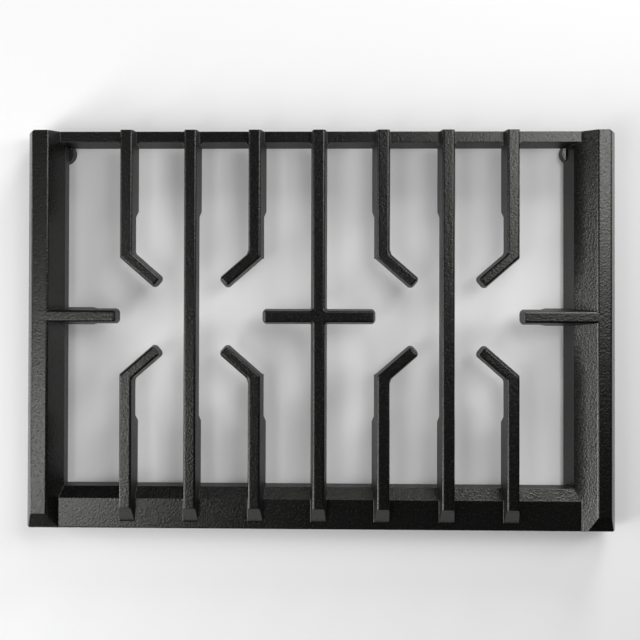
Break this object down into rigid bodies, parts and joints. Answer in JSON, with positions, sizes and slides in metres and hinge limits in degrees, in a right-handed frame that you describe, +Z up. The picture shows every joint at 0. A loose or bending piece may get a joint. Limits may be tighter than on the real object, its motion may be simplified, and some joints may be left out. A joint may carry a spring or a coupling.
{
  "type": "stove grate",
  "caption": "Cast-iron cooktop grate with bevelled hollow frames, pan bars and bent fingers round the burner places.",
  "frame": {"origin": "on the ground, under the middle of the grate", "axes": "+X along the grate from one end frame to the other, +Y from the wide rim to the thin rail, +Z up to the cooking level"},
  "size_m": [0.495, 0.336, 0.04],
  "materials": {
    "enamelled_iron": "matt black enamel over a finely pebbled casting"
  },
  "bodies": {
    "root": {"grate": "enamelled_iron"}
  },
  "joints": []
}
